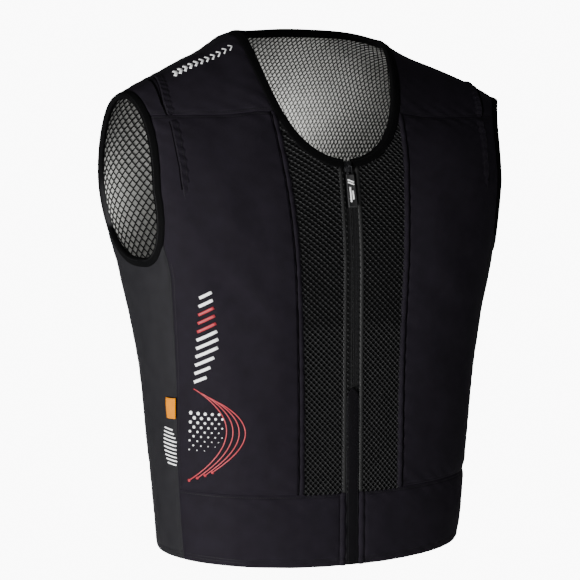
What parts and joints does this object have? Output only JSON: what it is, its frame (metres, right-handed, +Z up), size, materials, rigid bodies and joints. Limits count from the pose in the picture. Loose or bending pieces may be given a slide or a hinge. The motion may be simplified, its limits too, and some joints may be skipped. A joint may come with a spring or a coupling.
{
  "type": "motorcycle airbag vest",
  "caption": "Sleeveless airbag vest for motorcycling in its worn form: black softshell and mesh panels over a pale net lining, bound neck and armholes, front zip with a placket and pull.",
  "frame": {"origin": "midway between the two points of the neckline that sit highest on the shoulders, which is where the vest rests on its wearer", "axes": "+Z up along the wearer, -Y the way the wearer faces, +X the wearer's left"},
  "size_m": [0.4894, 0.2559, 0.6067],
  "materials": {
    "softshell": "matt woven softshell",
    "side_softshell": "matt woven softshell, dark grey",
    "spacer_mesh": "open hexagonal spacer mesh",
    "lining": "pale cloth under a black net",
    "binding": "matt woven tape",
    "zip_tape": "woven zip tape",
    "zip_coil": "nylon coil",
    "zip_metal": "dark plated metal",
    "pull_rubber": "matt moulded rubber",
    "label": "woven orange tab"
  },
  "bodies": {
    "vest": {"back_panel": "softshell", "front_panel_left": "softshell", "front_panel_right": "softshell", "hem_band_left": "softshell", "hem_band_right": "softshell", "yoke_left": "softshell", "yoke_right": "softshell", "placket": "softshell", "side_panel_left": "side_softshell", "side_panel_right": "side_softshell", "mesh_panel_left": "spacer_mesh", "mesh_panel_right": "spacer_mesh", "lining_back": "lining", "lining_front_left": "lining", "lining_front_right": "lining", "lining_side_left": "lining", "lining_side_right": "lining", "neck_binding": "binding", "armhole_binding_left": "binding", "armhole_binding_right": "binding", "zip_tape_left": "zip_tape", "zip_tape_right": "zip_tape", "zip_coil": "zip_coil", "zip_slider": "zip_metal", "label_tab": "label"},
    "pull": {"pull_link": "zip_metal", "pull_tab": "pull_rubber"}
  },
  "joints": [
    {"name": "zip_pull_hinge", "type": "hinge", "parent": "vest", "child": "pull", "pos_m": [0, -0.10819, -0.14486], "axis": [-1, 0, 0], "range_deg": [0, 150]}
  ]
}
